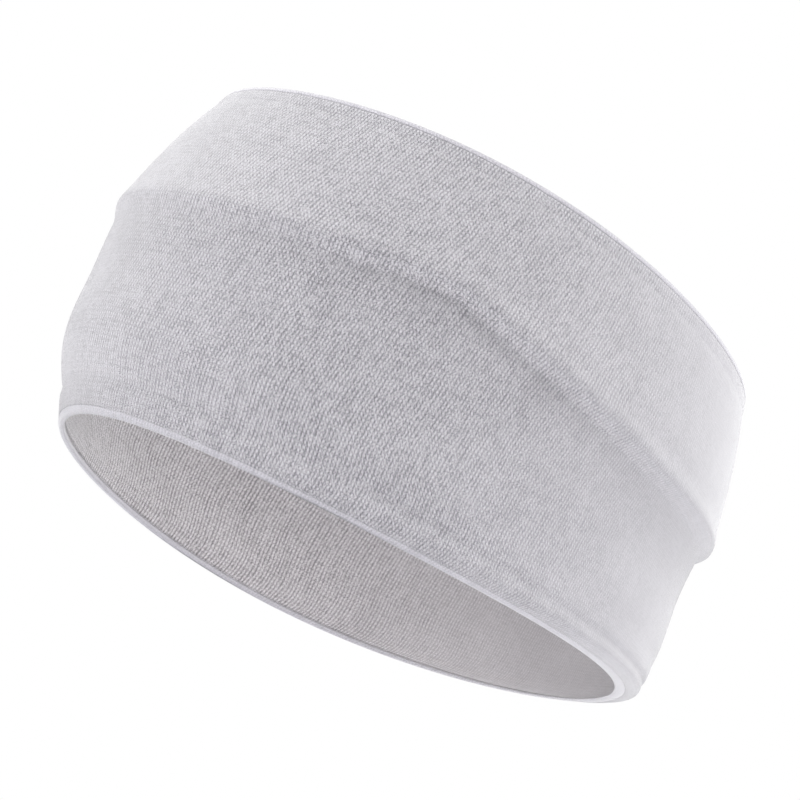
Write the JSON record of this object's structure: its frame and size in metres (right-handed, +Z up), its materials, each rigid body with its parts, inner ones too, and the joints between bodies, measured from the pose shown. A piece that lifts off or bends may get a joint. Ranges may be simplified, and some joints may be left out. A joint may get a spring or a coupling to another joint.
{
  "type": "sports headband",
  "caption": "Wide double-layer stretch-knit sports headband with turned edges and a raised hem ridge, shown at its worn size.",
  "frame": {"origin": "on the surface that the lower edge rests on, under the middle of the ring", "axes": "+Z up towards the crown of the head, +X along the ring's length from brow to nape, +Y across it"},
  "size_m": [0.184, 0.154, 0.1056],
  "materials": {
    "outer_knit": "matte fine jersey knit",
    "inner_knit": "matte ribbed back of the knit",
    "turned_edge": "matte fine jersey knit, rolled",
    "hem_knit": "matte fine jersey knit",
    "stitch_thread": "matte textured polyester thread"
  },
  "bodies": {
    "root": {"outer_layer": "outer_knit", "inner_layer": "inner_knit", "upper_edge_fold": "turned_edge", "lower_edge_fold": "turned_edge", "upper_hem_facing": "hem_knit", "lower_hem_facing": "hem_knit", "upper_hem_stitching": "stitch_thread", "lower_hem_stitching": "stitch_thread"}
  },
  "joints": []
}
